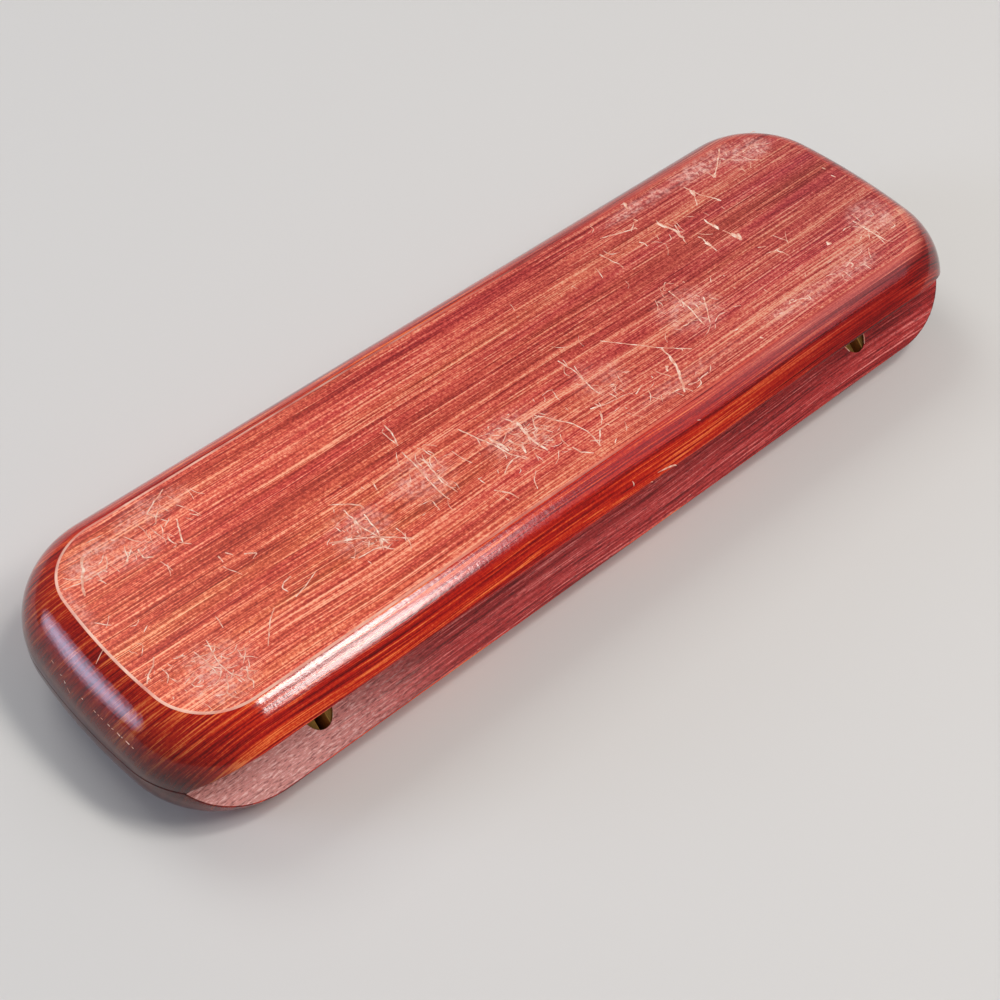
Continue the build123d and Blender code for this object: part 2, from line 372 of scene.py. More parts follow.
# %% Grain of the wood
LEAN = 0.45  # how far the layers lean, as millimetres of Y for one of Z
WANDER = 1.7  # the most that they wander, in millimetres
BANDS = [  # place across the flat in millimetres, tone from 0 dark to 1 pale
    (-30.0, 0.5), (-20.5, 0.5), (-19.0, 0.38), (-16.5, 0.45), (-13.5, 0.55), (-10.5, 0.62),
    (-8.5, 0.47), (-7.0, 0.48), (-5.0, 0.4), (-1.4, 0.41), (-0.9, 0.55), (1.0, 0.48), (3.2, 0.58),
    (4.8, 0.41), (6.2, 0.58), (7.2, 0.42), (8.5, 0.5), (9.9, 0.44), (11.0, 0.62), (13.2, 0.72),
    (15.5, 0.62), (17.8, 0.56), (20.0, 0.68), (22.0, 0.46), (25.0, 0.42), (26.8, 0.62), (28.2, 0.48),
    (33.0, 0.5),
]


def grain_field(tree, place, along, across, down, detail, shift):
    """Noise stretched along the grain. The three scales are features per metre along X, Y and Z."""
    shifted = {"Location": (shift, shift, shift), "Scale": (along, across, down)}
    stretched = add(tree, "Mapping", {"Vector": place, **shifted})
    return add(tree, "TexNoise", {"Vector": stretched, "Scale": 1.0, "Detail": detail, "Roughness": 0.6})


def fibres(tree, field, width):
    """Thin lines, one where the field crosses its middle and none elsewhere."""
    off = calc(tree, "ABSOLUTE", calc(tree, "SUBTRACT", field, 0.5))
    return ranged(tree, off, 0.0, width, 1.0, 0.5)


def weighed_sum(tree, parts):
    """Adds up (field, weight) pairs, each centred on zero first, around a middle of one half."""
    total = 0.5
    for field, weight in parts:
        total = calc(tree, "MULTIPLY_ADD", calc(tree, "SUBTRACT", field, 0.5), weight, total)
    return total


def tone_ramp(tree, tone, stops):
    """A colour ramp of (position, shade) stops. A shade is a hex colour, or a grey from 0 to 1."""
    ramp = add(tree, "ValToRGB", {"Fac": tone})
    elements = ramp.color_ramp.elements
    shades = [colour(s) if isinstance(s, str) else (s, s, s, 1.0) for _, s in stops]
    elements[0].position, elements[0].color = stops[0][0], shades[0]
    elements[1].position, elements[1].color = stops[-1][0], shades[-1]
    for (position, _), shade in list(zip(stops, shades))[1:-1]:
        elements.new(position).color = shade
    return ramp


def rosewood_tree(name, stops, weights):
    """A new rosewood material: its tree, the object's coordinates, its colour, its pores and its tone."""
    material, tree = new_material(name)
    place = add(tree, "TexCoord").outputs["Object"]
    # slow wander of the layers: half a millimetre over 60 mm of length
    wander = mottle(tree, place, 17.0, 1.0, (0.0, 1.0), (-WANDER / 1000, WANDER / 1000))
    apart = add(tree, "SeparateXYZ", {"Vector": place})
    layer = calc(tree, "MULTIPLY_ADD", apart.outputs["Z"], -LEAN, LEAN * HEIGHT / 1000)
    layer = calc(tree, "ADD", apart.outputs["Y"], layer)
    layer = calc(tree, "ADD", layer, wander)
    layered = add(tree, "CombineXYZ", {"X": apart.outputs["X"], "Y": layer, "Z": apart.outputs["Z"]})
    first, last = BANDS[0][0], BANDS[-1][0]
    across = ranged(tree, layer, first / 1000, last / 1000, 0.0, 1.0)
    bands = tone_ramp(tree, across, [((y - first) / (last - first), shade) for y, shade in BANDS])
    clouds = grain_field(tree, layered, 9, 200, 30, 2.0, 0.0)  # 5 mm changes within a band
    streaks = grain_field(tree, layered, 10, 760, 40, 3.0, 3.1)  # 1.3 mm streaks
    lines = grain_field(tree, layered, 22, 2600, 90, 3.0, 7.7)  # 0.4 mm lines
    pores = grain_field(tree, layered, 280, 4600, 900, 2.0, 11.3)  # 0.25 by 3 mm pores
    pale = fibres(tree, grain_field(tree, layered, 16, 1500, 90, 2.0, 17.9), 0.04)
    dark = fibres(tree, grain_field(tree, layered, 14, 1300, 80, 2.0, 23.3), 0.05)
    flecks = add(tree, "TexNoise", {"Vector": place, "Scale": 2600.0, "Detail": 2.0})
    fields = (bands, clouds, streaks, lines, pale, dark, pores, flecks)
    tone = weighed_sum(tree, list(zip(fields, weights)))
    return material, tree, place, tone_ramp(tree, tone, stops), pores, tone


# %% [markdown]
# On the round edges the lacquer is whole: thick, clear and glossy, over wood stained deep red. Both ends
# are painted darker, and darkest low down: painted shade, for the shadow and dark reflections there. A
# thin bump from the pores lets a highlight break up along the grain, where the lacquer has sunk, and a
# finer one is the orange peel of sprayed lacquer. At one end hands have dulled it beside the crease, so
# there it fades into the worn finish of the flat. The rims at the split are satin, for they are hard
# to polish.

# %% Gloss lacquered rosewood
RUBBED = [(0.16, "#8A1E0C"), (0.34, "#B0361E"), (0.5, "#CE4E36"), (0.66, "#EE7450"), (0.86, "#FFB48C")]
DEEP = [(0.2, "#5E0302"), (0.36, "#8C0904"), (0.5, "#B8180A"), (0.66, "#D63812"), (0.86, "#FF8444")]
HANDLED = (-60.0, 0.0)  # hands have worn the edge from the first x to the second, less and less


def handled_colour(tree, tone):
    """The flat's colour at the handled end, a little cooler and darker than the rest of it."""
    worn = tone_ramp(tree, tone, RUBBED)
    return add(tree, "HueSaturation", {"Hue": 0.4935, "Saturation": 0.94, "Value": 0.82, "Color": worn})


gloss_wood, tree, place, body, pores, tone = rosewood_tree(
    "gloss_lacquered_rosewood", DEEP, (0.7, 0.25, 0.35, 1.15, 0.48, -0.36, 0.3, 0.3)
)
apart = add(tree, "SeparateXYZ", {"Vector": place})
# painted shade: both ends are mixed toward near-black red, most of all low down
endwise = calc(tree, "ABSOLUTE", apart.outputs["X"])
endwise = ranged(tree, endwise, 0.068, 0.082, 0.0, 1.0, "SMOOTHSTEP")
downward = fade(tree, place, "Z", 11.5, 20.5, 0.93, 0.4)
shaded_ends = mix(tree, calc(tree, "MULTIPLY", endwise, downward), body, "#300406")
far = fade(tree, place, "X", *HANDLED, 0.9, 0.0)
near_crease = fade(tree, place, "Z", 19.3, 20.8, 0.0, 1.0)
dulled = calc(tree, "MULTIPLY", far, near_crease)
crimson = mix(tree, far, shaded_ends, "#BE7CB8", "MULTIPLY")
finish = mix(tree, dulled, crimson, handled_colour(tree, tone))
off_split = calc(tree, "ABSOLUTE", calc(tree, "SUBTRACT", apart.outputs["Z"], SPLIT / 1000))
on_rim = ranged(tree, off_split, 0.0001, 0.0002, 1.0, 0.0)
rough = ranged(tree, calc(tree, "MAXIMUM", dulled, on_rim), 0.0, 1.0, 0.09, 0.42)
sunk = add(tree, "Bump", {"Height": pores, "Strength": 0.12, "Distance": 0.00006})
peel = add(tree, "TexNoise", {"Vector": place, "Scale": 1300.0, "Detail": 2.0})
peel = add(tree, "Bump", {"Height": peel, "Strength": 0.16, "Distance": 0.0001, "Normal": sunk})
surface(tree, {"Base Color": finish, "Roughness": rough, "IOR": 1.45, "Normal": peel})

# %% [markdown]
# The flat of the lid has been handled and rubbed for years. Its lacquer is dulled to satin and a fine
# whitish haze lies over it, thickest in scuffed patches near the corners and in the middle. Each patch
# has a centre, two half sizes and a strength, and a broken noise keeps its edge from looking like a
# spot. The red wanders a little in hue, and it is darker and cooler toward one end.

# %% Worn satin rosewood of the flats
SCUFFS = [  # x, y, half length, half width in millimetres, strength
    (69.0, -14.5, 5.5, 3.5, 1.0),
    (57.7, -17.3, 7.0, 2.6, 0.95),
    (64.0, -12.0, 5.0, 3.0, 0.6),
    (68.0, 13.2, 6.5, 5.5, 0.75),
    (68.4, 17.3, 5.0, 2.6, 0.6),
    (37.0, 6.8, 5.5, 5.0, 0.6),
    (24.0, 5.2, 6.0, 5.0, 0.7),
    (6.6, 8.4, 7.0, 5.5, 0.6),
    (-10.7, 8.0, 5.0, 5.0, 0.35),
    (-32.6, 6.2, 6.0, 5.5, 0.6),
    (-60.4, -18.3, 9.0, 2.4, 1.0),
    (-69.3, -15.9, 5.5, 3.2, 1.0),
    (-45.0, -18.1, 9.0, 1.8, 0.8),
    (-72.0, 10.7, 4.5, 4.5, 0.9),
    (-61.1, 16.3, 6.0, 3.0, 0.7),
    (-47.7, 16.7, 9.0, 2.0, 0.6),
    (-22.0, 16.8, 14.0, 1.8, 0.3),
    (76.6, -8.8, 2.0, 6.0, 0.5),
]
satin_wood, tree, place, body, pores, _ = rosewood_tree(
    "worn_satin_rosewood", RUBBED, (0.6, 0.15, 0.15, 0.9, 0.6, -0.5, 0.35, 0.8)
)
scuffed = 0.0
for x, y, long, wide, strength in SCUFFS:
    centre = {"Location": (-x / long, -y / wide, 0), "Scale": (1000 / long, 1000 / wide, 0)}
    away = add(tree, "Mapping", {"Vector": place, **centre})
    away = add(tree, "VectorMath", {0: away}, operation="LENGTH")
    spot = ranged(tree, away, 0.35, 1.25, strength, 0.0, "SMOOTHSTEP")
    scuffed = calc(tree, "MAXIMUM", scuffed, spot)
specks = mottle(tree, place, 1300.0, 4.0, (0.44, 0.62), (0.18, 1.0), 0.7)
patches = mottle(tree, place, 260.0, 4.0, (0.4, 0.6), (0.25, 1.0), 0.7)
scuffed = calc(tree, "MULTIPLY", calc(tree, "MULTIPLY", scuffed, specks), patches)
hues = grain_field(tree, place, 12, 320, 60, 4.0, 29.0)  # 3 mm patches of redder or more orange wood
shift = fade(tree, place, "X", -80, 80, 0.4765, 0.4865, "LINEAR")
shift = calc(tree, "MULTIPLY_ADD", hues, 0.03, shift)
darker = fade(tree, place, "X", -80, 80, 0.73, 1.11, "LINEAR")
greyer = fade(tree, place, "X", -80, 40, 0.93, 1.0, "LINEAR")
cloudy = {"Hue": shift, "Saturation": greyer, "Value": darker, "Color": body}
cloudy = add(tree, "HueSaturation", cloudy)
hazy = mix(tree, scuffed, cloudy, "#F2BCAE")
rough = ranged(tree, scuffed, 0.0, 0.6, 0.42, 0.6)
sunk = add(tree, "Bump", {"Height": pores, "Strength": 0.25, "Distance": 0.0001})
surface(tree, {"Base Color": hazy, "Roughness": rough, "IOR": 1.38, "Normal": sunk})

# %% [markdown]
# The groove and the pocket were milled and then only sealed, so their pores stay open and the surface
# is dull. The cutter tore small dashes out of it, about a millimetre long, with dark pits between them.
# Toward one end a pale pink painted sheen lies over it, a painted reflection of a window, and there the
# dashes are painted pale, as glints.

# %% Sealed milled rosewood
SEALED = [(0.2, "#580605"), (0.36, "#861415"), (0.5, "#AA2725"), (0.66, "#C24441"), (0.86, "#EC8C84")]
milled_wood, tree, place, body, _, _ = rosewood_tree(
    "sealed_milled_rosewood", SEALED, (0.15, 0.15, 0.25, 0.95, 0.5, -0.45, 0.5, 0.3)
)
# painted sheen: pale pink rises toward one end, and the dashes there are painted pale as glints
painted_sheen = fade(tree, place, "X", 32, 66, 0.0, 0.82)
body_with_sheen = mix(tree, painted_sheen, body, "#DC9A92")
dashes = grain_field(tree, place, 800, 3900, 3900, 3.0, 5.3)  # 0.25 by 1.2 mm
torn_dash_glints = calc(tree, "MULTIPLY", ranged(tree, dashes, 0.54, 0.64, 0.0, 0.75), painted_sheen)
glinting_dashes = mix(tree, torn_dash_glints, body_with_sheen, "#FFD8D2")
pitted = mix(tree, ranged(tree, dashes, 0.36, 0.46, 0.6, 0.0), glinting_dashes, "#5A1216")
sunk = add(tree, "Bump", {"Height": dashes, "Strength": 0.8, "Distance": 0.0002})
surface(tree, {"Base Color": pitted, "Roughness": 0.42, "IOR": 1.33, "Normal": sunk})

# %% [markdown]
# The crease round the flat is where hands and table tops rub most. At one end of the case it is painted
# pale: partly the lacquer and stain rubbed down to pale wood, partly a painted highlight of the rounded
# crease. At the other the crease has only turned as dull as the flat beside it.

# %% Rubbed crease, with a painted highlight
crease_wood, tree, place, body, _, tone = rosewood_tree(
    "rubbed_and_highlit_rosewood", DEEP, (0.8, 0.5, 0.5, 0.7, 0.3, -0.2, 0.2, 0.2)
)
# real wear and painted highlight: toward one end the crease is mixed toward pale peach
rubbed_and_highlit = fade(tree, place, "X", -30, 60, 0.0, 0.95, "LINEAR")
patchy = mottle(tree, place, 160.0, 3.0, (0.35, 0.6), (0.4, 1.0))
bare = calc(tree, "MULTIPLY", rubbed_and_highlit, patchy)
far = fade(tree, place, "X", *HANDLED, 1.0, 0.0)
dull = mix(tree, far, body, handled_colour(tree, tone))
pale = mix(tree, bare, dull, "#FCCAB0")
rough = ranged(tree, far, 0.0, 1.0, 0.3, 0.45)
surface(tree, {"Base Color": pale, "Roughness": rough, "IOR": 1.45})

for piece in (lid_wood, base_wood):
    for material in (gloss_wood, satin_wood, milled_wood, crease_wood):
        piece.data.materials.append(material)
print("finishes of the wood:", [material.name for material in lid_wood.data.materials])

# %% [markdown]
# Scratches lie in the lacquer of the flat. Each is a thin tapered tube along a few points, pressed flat
# until it stands a hundredth of a millimetre proud, which keeps its crisp pale line from every side. A
# painted image would be quicker, but this part has no image textures. The long ones are listed one by
# one, and around the scuffs come many fine hairlines with a fixed random seed.

# %% Long scratches, as points in millimetres on the flat
FLAKE, THICK, PLAIN, FINE = 0.95, 0.5, 0.23, 0.16  # widths in millimetres
SCRATCHES = [
    (THICK, (70.3, -16.4), (72.7, -12.8), (74.1, -10.0)),
    (PLAIN, (53.9, -19.4), (56.4, -18.2), (58.6, -17.0), (57.4, -15.1)),
    (PLAIN, (55.8, -13.1), (57.1, -10.4), (57.8, -8.7)),
    (PLAIN, (63.7, -13.3), (65.0, -12.1), (66.8, -10.9)),
    (PLAIN, (63.4, -12.2), (63.8, -10.3), (62.5, -9.4)),
    (FINE, (75.8, -13.1), (72.4, -12.3), (68.7, -12.2)),
    (PLAIN, (55.5, -3.2), (55.6, -1.8)),
    (PLAIN, (54.3, -3.1), (53.7, -1.9)),
    (PLAIN, (52.4, -1.0), (50.9, 0.1), (52.0, 0.6)),
    (PLAIN, (49.9, 6.9), (51.3, 7.1), (52.2, 7.8), (51.9, 8.9)),
    (FINE, (51.7, 10.4), (49.3, 9.7), (46.6, 8.6)),
    (FINE, (55.2, 9.9), (57.0, 11.3), (60.0, 14.8)),
    (PLAIN, (73.0, 5.6), (74.0, 6.8), (75.4, 7.6), (76.4, 8.8)),
    (FINE, (68.3, 8.6), (68.0, 11.3), (68.1, 14.4)),
    (FINE, (65.8, 8.1), (66.4, 10.4), (66.9, 12.8), (66.4, 17.3)),
    (PLAIN, (64.3, 15.6), (65.4, 17.3), (65.1, 18.2), (65.8, 19.2)),
    (PLAIN, (12.9, 1.0), (11.7, 5.2), (10.9, 7.6), (10.4, 10.3), (9.3, 12.7)),
    (PLAIN, (2.6, 7.1), (1.4, 7.7), (0.4, 9.7), (-1.1, 12.2), (-1.6, 14.9), (-1.2, 17.5), (-1.0, 18.4)),
    (PLAIN, (-0.5, 16.5), (-2.0, 17.6)),
    (PLAIN, (-3.2, 15.9), (-0.8, 18.2)),
    (PLAIN, (2.4, 15.6), (2.2, 17.2), (0.8, 18.7)),
    (PLAIN, (22.4, -1.1), (22.6, 2.6), (23.2, 6.5), (23.4, 10.0), (23.2, 11.1)),
    (FINE, (22.0, -6.4), (22.0, -3.0)),
    (PLAIN, (21.0, 3.0), (21.8, 7.7), (21.4, 10.8)),
    (PLAIN, (-8.7, 0.4), (-9.1, 4.2), (-8.5, 8.4), (-8.6, 9.7)),
    (PLAIN, (-5.2, 11.6), (-7.8, 12.5), (-10.8, 12.9), (-12.2, 13.2)),
    (PLAIN, (17.1, 14.2), (15.7, 16.2), (15.4, 17.9)),
    (PLAIN, (36.3, 2.1), (36.5, 6.2), (35.9, 8.8), (35.4, 11.8)),
    (PLAIN, (41.3, 6.0), (37.9, 8.0), (35.6, 9.8), (32.1, 13.3)),
    (PLAIN, (34.6, 4.8), (35.2, 8.9), (36.8, 12.1)),
    (PLAIN, (40.6, 10.8), (37.4, 11.1), (35.9, 11.9)),
    (PLAIN, (-66.2, -19.6), (-62.4, -16.5), (-59.7, -14.7)),
    (PLAIN, (-34.0, -16.4), (-37.6, -15.1), (-40.4, -14.1)),
    (PLAIN, (-31.1, -13.5), (-31.9, -9.2)),
    (PLAIN, (-33.3, 0.7), (-33.0, 5.3), (-31.9, 10.3)),
    (PLAIN, (-36.5, 5.5), (-33.0, 10.5)),
    (PLAIN, (-16.8, 1.6), (-19.6, 5.1), (-22.8, 9.2), (-26.4, 12.8)),
    (PLAIN, (-68.9, 9.4), (-69.0, 11.9), (-69.3, 16.2)),
    (THICK, (-22.9, 9.5), (-22.6, 11.2), (-21.6, 14.3), (-19.6, 17.6), (-18.7, 18.9)),
    (PLAIN, (-17.1, 17.7), (-18.2, 17.8), (-19.4, 18.3), (-19.8, 19.6)),
    (FINE, (-20.2, 18.1), (-21.7, 18.6), (-24.6, 18.2)),
    (THICK, (-20.7, 12.9), (-20.1, 13.5)),
    (PLAIN, (-12.7, 14.0), (-14.8, 13.3)),
    (FINE, (-9.8, 3.0), (-8.9, 6.0), (-8.4, 9.2)),
    (FINE, (-5.9, 13.1), (-5.2, 14.2), (-4.1, 15.2)),
    (THICK, (5.1, 5.7), (5.7, 7.8), (5.8, 9.7), (5.8, 11.4), (5.6, 13.6)),
    (PLAIN, (1.7, 7.3), (3.0, 7.4), (3.8, 8.7), (3.4, 9.9)),
    (PLAIN, (5.9, 8.5), (4.3, 8.8), (2.9, 9.8)),
    (PLAIN, (-54.0, -16.4), (-54.6, -13.2), (-56.1, -9.9)),
    (FLAKE, (-61.3, 10.2), (-62.0, 10.7)),
    (FLAKE, (-60.3, -15.2), (-59.8, -14.6)),
    (FLAKE, (-54.3, -14.7), (-53.7, -13.5)),
    (PLAIN, (-53.7, -13.5), (-53.1, -12.6), (-52.1, -11.3)),
    (THICK, (-55.9, -10.2), (-56.2, -9.5)),
    (THICK, (-43.2, -20.3), (-43.4, -20.1), (-43.1, -19.7), (-42.7, -18.6)),
    (PLAIN, (-43.3, -20.2), (-42.5, -20.3)),
    (THICK, (-41.6, -16.1), (-41.9, -15.4)),
    (THICK, (-40.2, -14.5), (-40.3, -13.9)),
    (THICK, (-43.9, -12.8), (-44.2, -11.9), (-44.4, -11.1), (-44.7, -10.4), (-44.8, -9.5), (-44.7, -8.5),
        (-44.3, -7.4), (-44.7, -7.0)),
    (PLAIN, (-45.8, -10.4), (-45.4, -9.5), (-45.0, -8.4)),
    (PLAIN, (-38.2, -11.3), (-38.6, -10.5), (-38.5, -9.6)),
    (THICK, (-50.5, -8.0), (-50.3, -7.1), (-50.5, -6.2), (-50.5, -5.3), (-50.5, -4.5)),
    (FLAKE, (-50.5, -5.9), (-50.7, -4.9)),
    (PLAIN, (-50.8, -3.9), (-51.0, -3.0), (-51.2, -2.1)),
    (FLAKE, (-51.2, -2.4), (-51.5, -1.5), (-51.4, -0.3)),
    (THICK, (-52.1, -1.7), (-51.9, -0.7), (-51.3, 0.0)),
    (PLAIN, (-46.5, -5.6), (-46.8, -4.7), (-46.5, -3.7)),
    (FLAKE, (-46.5, -3.7), (-46.5, -2.5)),
    (PLAIN, (-46.5, -2.5), (-46.3, -1.0)),
    (FINE, (-55.1, -8.3), (-55.0, -7.6)),
    (PLAIN, (-53.8, 5.8), (-54.2, 6.8), (-54.4, 8.0)),
    (PLAIN, (-52.0, 3.1), (-53.2, 3.8)),
    (FINE, (-56.1, 2.7), (-56.7, 4.5), (-57.0, 5.4)),
    (PLAIN, (-61.3, 15.5), (-60.5, 15.8), (-60.8, 16.8), (-59.8, 17.0)),
    (PLAIN, (-69.1, 13.9), (-69.0, 15.3), (-68.6, 16.9)),
    (PLAIN, (-73.6, 13.9), (-73.4, 14.9), (-72.3, 14.9)),
    (PLAIN, (-57.4, 17.2), (-57.0, 17.9)),
    (PLAIN, (-46.0, 16.2), (-46.2, 15.5), (-47.0, 15.9)),
    (THICK, (-36.4, 18.3), (-36.7, 18.8)),
    (THICK, (-20.2, 13.2), (-20.0, 13.8)),
    (THICK, (-36.7, 0.6), (-36.7, 1.0)),
    (THICK, (-75.7, -3.8), (-75.8, -3.1)),
    (THICK, (-75.3, -1.3), (-75.5, -0.5)),
    (FINE, (-34.9, -19.9), (-34.9, -18.9), (-34.0, -18.4)),
    (THICK, (-31.8, -9.1), (-31.8, -8.5)),
    (FINE, (-45.2, 10.9), (-45.2, 11.9)),
    (FINE, (-49.5, 16.6), (-49.2, 17.7), (-48.5, 17.6)),
    (FINE, (-43.7, 15.9), (-43.6, 16.8), (-42.7, 16.6)),
    (THICK, (8.6, 8.0), (8.6, 9.2), (8.0, 9.9), (8.1, 11.0), (8.5, 11.8)),
    (THICK, (10.6, 5.6), (10.4, 7.2), (10.1, 8.3), (10.1, 9.7)),
    (PLAIN, (9.1, 4.9), (8.3, 4.9), (7.7, 5.4)),
    (PLAIN, (13.6, 12.7), (12.3, 11.9), (10.8, 11.4), (9.5, 11.7)),
    (PLAIN, (37.2, -0.0), (35.1, 1.6), (33.9, 3.0), (33.9, 4.0)),
    (PLAIN, (41.8, 6.3), (40.4, 6.6), (38.8, 7.2)),
    (FINE, (16.6, 3.9), (16.4, 6.0), (15.9, 7.8)),
    (FINE, (21.1, 2.8), (21.4, 5.8), (21.4, 8.6)),
    (PLAIN, (20.8, -7.3), (21.0, -5.2), (22.0, -2.5)),
    (FINE, (27.3, 9.0), (25.3, 9.4), (25.7, 11.7)),
    (FINE, (9.8, 15.5), (11.3, 16.7), (12.1, 18.4)),
    (PLAIN, (17.4, 10.9), (16.7, 11.0)),
    (PLAIN, (29.7, 1.1), (30.1, 2.4)),
    (PLAIN, (31.5, 0.3), (31.4, 0.9)),
    (PLAIN, (-6.0, 12.9), (-5.0, 14.6)),
    (FINE, (32.8, 10.1), (32.6, 11.7), (33.0, 13.5), (33.6, 14.7)),
    (PLAIN, (-59.3, 16.3), (-61.8, 15.6), (-64.3, 15.5)),
    (PLAIN, (-45.6, 16.1), (-47.5, 16.3), (-49.1, 17.3)),
]

# hairlines: number, middle x and y, half length and half width of the scuffed area
HAIRLINES = [
    (26, 69.0, -14.0, 5.0, 3.0),
    (22, 57.0, -16.0, 6.0, 3.5),
    (14, 62.0, -11.0, 5.0, 3.0),
    (60, 67.5, 13.0, 5.0, 5.0),
    (16, 74.0, 4.0, 3.0, 7.0),
    (44, 37.0, 7.0, 4.5, 5.0),
    (26, 22.0, 4.0, 4.0, 6.0),
    (66, 6.0, 9.0, 6.0, 5.0),
    (20, -10.5, 9.0, 4.5, 4.5),
    (34, -33.0, 6.0, 6.0, 5.0),
    (18, -60.0, -18.0, 8.0, 2.0),
    (16, -69.0, -15.0, 4.0, 3.0),
    (14, -44.0, -10.0, 8.0, 5.0),
    (16, -70.0, 12.0, 4.0, 4.0),
    (14, -60.0, 16.0, 6.0, 3.0),
    (26, -15.0, 16.5, 18.0, 3.0),
    (30, 0.0, 0.0, 70.0, 16.0),
]


def hairlines():
    """Short fine strokes around each scuff, most of them across the grain."""
    chance = random.Random(11)
    strokes = []
    for number, x, y, long, wide in HAIRLINES:
        for _ in range(number):
            start = Vector((chance.gauss(x, long * 0.6), chance.gauss(y, wide * 0.6)))
            angle = chance.gauss(math.pi / 2, 0.75)
            reach = chance.uniform(0.35, 1.0) ** 2 * 3.4
            width = chance.uniform(0.07, 0.19)
            points = [start]
            for _ in range(3):
                angle += chance.gauss(0.0, 0.4)
                step = Vector((math.cos(angle), math.sin(angle))) * reach / 3
                points.append(points[-1] + step)
            strokes.append((width, *points))
    return [s for s in strokes if all(abs(p[0]) < 76 and abs(p[1]) < 19.5 for p in s[1:])]


# %% [markdown]
# The round edge has a few knocks too: a row of small chips along the near end, and some on the hinge
# side. A place on the edge is given by how far along it is and by its tilt, the angle that the surface
# has turned below the crease, so a mark lies on the surface without any fitting.

# %% Chips and scratches of the round edge
def edge_point(run, tilt, on_end):
    """A point of the lid's round edge and its normal. Tilt is in degrees below the crease. run is the
    distance along the hinge side (x), or across the end (y) where on_end."""
    lean = math.radians(90) - EDGE_ANGLE + math.radians(tilt)
    inset = EDGE_RADIUS * (1 - math.sin(lean))
    height = SPLIT + WALL_LAND + EDGE_RADIUS * math.cos(lean)
    if on_end:
        outward = Vector((math.sqrt(1 - (run / END_RADIUS) ** 2), run / END_RADIUS, 0))
        place = Vector((LENGTH / 2 - END_RADIUS, 0, height)) + outward * (END_RADIUS - inset)
    else:
        outward = Vector((0, 1, 0))
        place = Vector((run, WIDTH / 2 - inset, height))
    return place / 1000, outward * math.sin(lean) + Vector((0, 0, math.cos(lean)))


EDGE_MARKS = [  # width in millimetres, on the end or not, then (run, tilt) points
    (0.3, True, (-0.25, 1.0), (0.1, 6.0), (0.5, 12.7)),
    (0.14, True, (-1.4, 2.0), (-0.9, 7.0)),
    (0.26, True, (1.1, 44.2), (1.4, 44.0)),
    (0.24, True, (4.0, 43.8), (4.5, 44.3)),
    (0.3, True, (5.0, 44.0), (5.3, 44.2)),
    (0.22, True, (5.7, 44.4), (6.2, 44.2)),
    (0.28, True, (7.3, 44.0), (7.8, 44.4)),
    (0.22, True, (8.2, 44.6), (8.6, 44.2)),
    (0.3, True, (9.4, 44.0), (10.1, 44.8)),
    (0.24, True, (10.3, 44.6), (10.6, 44.4)),
    (0.32, True, (11.3, 44.4), (12.1, 44.9)),
    (0.2, True, (12.6, 45.2), (13.0, 45.5)),
    (0.2, True, (-4.5, 44.5), (-4.1, 44.0)),
    (0.22, True, (-3.4, 46.0), (-3.0, 47.2)),
    (0.2, True, (-2.4, 49.0), (-1.7, 51.0)),
    (0.18, True, (-7.2, 42.0), (-6.6, 42.4)),
    (0.3, False, (-1.5, 30.0), (-1.7, 32.5), (-1.4, 34.5)),
    (0.34, False, (-6.3, 37.0), (-8.2, 38.4), (-9.9, 40.5), (-10.0, 42.0)),
    (0.28, False, (-4.5, 40.6), (-4.9, 41.6)),
    (0.34, False, (-17.0, 18.6), (-17.5, 19.6)),
    (0.18, False, (22.0, 33.0), (20.6, 34.2)),
    (0.16, False, (-33.0, 30.0), (-35.4, 31.2)),
]
edge_strokes = []
for width, on_end, *marks in EDGE_MARKS:
    spots = [edge_point(*mark, on_end)[0] * 1000 for mark in marks]
    edge_strokes.append((width, *spots))
print("marks on the edge:", len(edge_strokes))

# %% [markdown]
# The drill lifted a few splinters round the hinge bores, and the groove has small chips. Both lie on the
# base's slope, which is at 45 degrees, so a mark's height follows from its distance to the bottom.

# %% Worn rims of the hinge bores and chips, on the base's slope of the groove
WORN_RIM = BARREL[2] + 0.1  # the wear lies this far from a bore's axis
base_strokes = []
for side, turns in ((-1, (8, 24, 44)), (-1, (128, 145, 163)), (1, (118, 138, 156))):
    arc = []
    for turn in turns:
        x = side * BARREL[0] + WORN_RIM * math.cos(math.radians(turn))
        y = BARREL[1] + WORN_RIM * math.sin(math.radians(turn))
        arc.append(Vector((x, y, SPLIT - (y - APEX_Y))))
    base_strokes.append((0.36 if side < 0 else 0.22, *arc))
for x, y in ((-14.0, 25.5), (-9.5, 25.9), (31.0, 25.8), (52.0, 25.7)):
    start = Vector((x, y, SPLIT - (y - APEX_Y)))
    base_strokes.append((0.3, start, start - Vector((0.7, 0, 0))))

# %% [markdown]
# A real scratch is no even line, because the lacquer flakes away beside it. So each stroke is cut into
# short lengths that wander a little, then a tube is swept along it and pressed.

# %% Scratches as flattened pieces
TIP = 0.45  # thickness of a stroke's ends over that of its middle


def ragged(width, *points):
    """The stroke cut into short lengths whose places and widths wander, the more the wider it is."""
    rough = min(1.0, 0.25 + width / FLAKE)
    worn = []
    for start, end in zip(points, points[1:]):
        start, end = Vector(start), Vector(end)
        lengths = max(1, round((end - start).length / (0.3 + width)))
        for step in range(lengths):
            x, y = start.lerp(end, step / lengths)
            if worn:
                x += flaking.gauss(0.0, 0.2 * width)
                y += flaking.gauss(0.0, 0.2 * width)
            worn.append((x, y, HEIGHT, flaking.uniform(1.0 - 0.7 * rough, 1.0 + 0.25 * rough)))
    return width, *worn, (*points[-1], HEIGHT, TIP)


